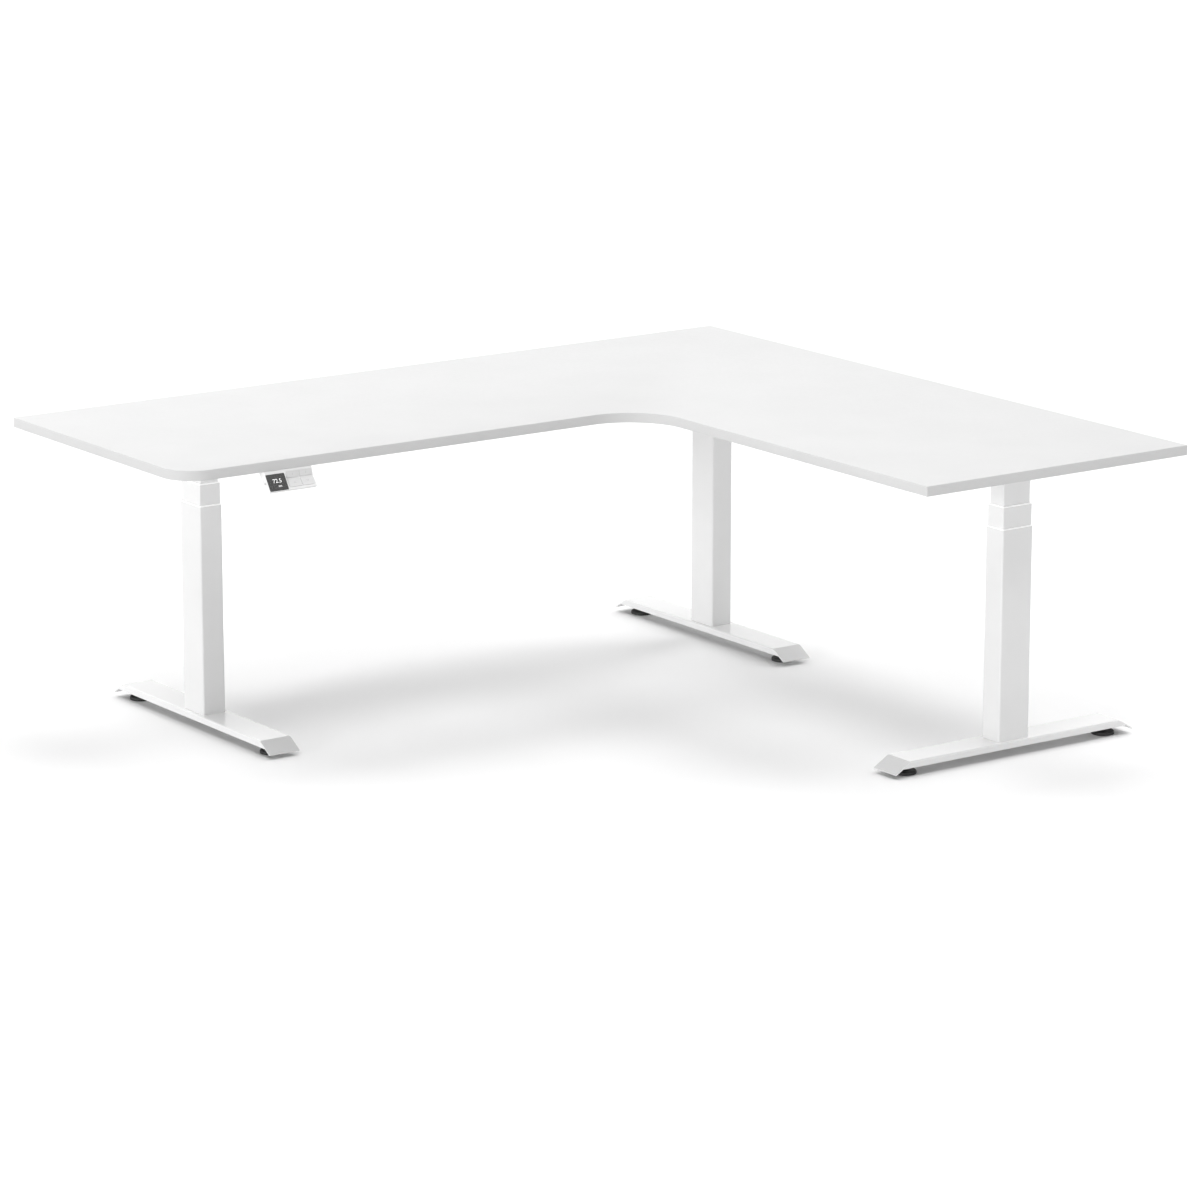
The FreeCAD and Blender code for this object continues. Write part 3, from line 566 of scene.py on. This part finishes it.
def pad_profile(radius, top):
    """Radius and height of each ring, from the middle of the sole up to the end of the stud."""
    disc, neck, root = DISC_TOP, NECK_TOP, STUD_RADIUS - THREAD_DEPTH
    profile = [(0.0, 0.0), (radius - 2 * MM, 0.0), (radius - 0.6 * MM, 0.5 * MM),
               (radius, 1.6 * MM), (radius, disc - 3 * MM), (radius - 0.7 * MM, disc - 1.6 * MM),
               (radius - 2.4 * MM, disc - 0.3 * MM), (radius - 4 * MM, disc),
               (9.6 * MM, disc), (9 * MM, disc + 0.6 * MM), (8.6 * MM, neck - 0.5 * MM),
               (8 * MM, neck), (root, neck)]
    z = neck + THREAD_PITCH / 2
    while z < top - 1.4 * MM:
        profile += [(STUD_RADIUS, z), (root, z + THREAD_PITCH / 2)]
        z += THREAD_PITCH
    return profile + [(root - 0.3 * MM, top), (0.0, top)]


def add_pad(node):
    """Ribbed levelling pad with its neck and threaded stud."""
    low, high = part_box(node)
    centre = (low + high) / 2
    radius = (high.x - low.x) / 2
    shape = bmesh.new()
    rows = []
    for r, z in pad_profile(radius, high.z):
        ribbed = abs(r - radius) < SAME_SPOT
        row = []
        for k in range(PAD_STEPS if r > 0 else 1):
            angle = 2 * pi * k / PAD_STEPS
            out = r - (RIB_DEPTH if ribbed and k % 4 > 1 else 0.0)
            spot = (centre.x + out * cos(angle), centre.y + out * sin(angle), z)
            row.append(shape.verts.new(spot))
        rows.append(row)
    for lower, upper in zip(rows, rows[1:]):
        for k in range(PAD_STEPS):
            n = (k + 1) % PAD_STEPS
            below = [lower[k % len(lower)], lower[n % len(lower)]]
            above = [upper[n % len(upper)], upper[k % len(upper)]]
            shape.faces.new(list(dict.fromkeys(below + above)))
    name = node + "_ribbed"
    add_piece(name, to_mesh(name, shape), node, stands_for=(node,))


# ---- handset ------------------------------------------------------------------------
def front_of(node):
    """Centre, width, height and axes (right, up, outwards) of a plate's front face."""
    mesh = nodes[node].data
    face = max((f for f in mesh.polygons if f.normal.y < -0.5), key=lambda f: f.area)
    outward = face.normal.copy()
    right = Vector((1, 0, 0))
    up = outward.cross(right)
    spots = [v.co for v in mesh.vertices]
    lows = [min(p.dot(axis) for p in spots) for axis in (right, up)]
    highs = [max(p.dot(axis) for p in spots) for axis in (right, up)]
    level = max(p.dot(outward) for p in spots)
    centre = right * (lows[0] + highs[0]) / 2 + up * (lows[1] + highs[1]) / 2 + outward * level
    return centre, highs[0] - lows[0], highs[1] - lows[1], (right, up, outward)


def lay_on(mesh, node, at, lift):
    """Move a mesh drawn flat in XY onto a plate's front; at is in fractions of its half size."""
    centre, width, height, (right, up, outward) = front_of(node)
    spot = centre + right * at[0] * width / 2 + up * at[1] * height / 2 + outward * lift
    turn = Matrix((right, up, outward)).transposed().to_4x4()
    mesh.transform(Matrix.Translation(spot) @ turn)


CHAMFER = 0.1 * MM


def plate(name, width, height, radius, depth):
    """Thin rounded plate drawn flat, with its front at z = 0 and a small chamfer."""
    shape = bmesh.new()
    rings = []
    for inset, z in ((0.0, -depth), (0.0, -CHAMFER), (CHAMFER, 0.0)):
        half = (width / 2 - inset, height / 2 - inset)
        rings.append((rounded_loop((0, 0), half, radius - inset), z))
    rows = skin(shape, rings)
    shape.faces.new(rows[0][::-1])
    shape.faces.new(rows[-1])
    return to_mesh(name, shape)


def lettering(name, words, size, depth, swell=0.0):
    """Solid figures drawn flat in XY, centred on the origin."""
    curve = bpy.data.curves.new(name, "FONT")
    curve.body = words
    curve.size = size
    curve.extrude = depth / 2
    curve.offset = swell
    curve.resolution_u = 6
    curve.align_x = "CENTER"
    curve.align_y = "CENTER"
    holder = bpy.data.objects.new(name + "_text", curve)
    scene.collection.objects.link(holder)
    bpy.context.view_layer.update()
    mesh = bpy.data.meshes.new_from_object(holder)
    bpy.data.objects.remove(holder)
    mesh.name = name
    mesh.materials.clear()
    return mesh


def chevron(name, size, depth, upwards):
    """Solid arrowhead outline drawn flat in XY."""
    way = 1 if upwards else -1
    half, rise, thick = size / 2, size / 4, size / 5
    points = [(-half, -way * rise), (0, way * rise), (half, -way * rise),
              (half, -way * (rise + thick)), (0, way * (rise - thick)), (-half, -way * (rise + thick))]
    shape = bmesh.new()
    rows = skin(shape, [([Vector(p) for p in points], z) for z in (-depth / 2, depth / 2)])
    for row in rows:
        shape.faces.new((row[0], row[1], row[4], row[5]))
        shape.faces.new((row[1], row[2], row[3], row[4]))
    return to_mesh(name, shape)


PRINT_DEPTH = 0.16 * MM
SCREEN_BORDER = 3.4 * MM       # both sides together
SCREEN_CORNER = 1.6 * MM
SCREEN_DEPTH = 0.25 * MM
SCREEN_LIFT = 0.06 * MM
DIGIT_LIFT = 0.1 * MM
DIGIT_SWELL = 0.04 * MM
MEMORY_SIZE = 7 * MM
CHEVRON_SIZE = 6 * MM
# Words, size and place of what the display shows; places are fractions of its half size.
READOUT = {"display_digits": ("72.5", 14 * MM, (0.04, 0.14)),
           "display_unit": ("cm", 8 * MM, (0.2, -0.46))}


def add_display():
    node = "handset_display"
    _, width, height, _ = front_of(node)
    window = plate("display_screen", width - SCREEN_BORDER, height - SCREEN_BORDER,
                   SCREEN_CORNER, SCREEN_DEPTH)
    lay_on(window, node, (0.0, 0.0), SCREEN_LIFT)
    add_piece("display_screen", window, node, SCREEN)
    for name, (words, size, at) in READOUT.items():
        mesh = lettering(name, words, size, PRINT_DEPTH, DIGIT_SWELL)
        lay_on(mesh, node, at, DIGIT_LIFT)
        add_piece(name, mesh, node, DIGITS)


def add_key_marks():
    marks = {"key_memory_1": lettering("mark_memory_1", "1", MEMORY_SIZE, PRINT_DEPTH),
             "key_memory_2": lettering("mark_memory_2", "2", MEMORY_SIZE, PRINT_DEPTH),
             "key_up": chevron("mark_up", CHEVRON_SIZE, PRINT_DEPTH, True),
             "key_down": chevron("mark_down", CHEVRON_SIZE, PRINT_DEPTH, False)}
    for node, mesh in marks.items():
        lay_on(mesh, node, (0.0, 0.0), 0.0)
        add_piece(mesh.name, mesh, node, PRINT)


# ---- the whole ----------------------------------------------------------------------
studio_floor = add_floor()
add_camera()
add_studio()
add_floor_finish(studio_floor)
paint_frame()
ease_frame()
add_top()
for leg in LEGS:
    add_rim(leg, "lower", "middle")
    add_rim(leg, "upper", "inner")
for leg in LEGS:
    coat_foot(bpy.data.objects[leg + "_foot_eased"])
for node in PADS:
    add_pad(node)
add_display()
add_key_marks()
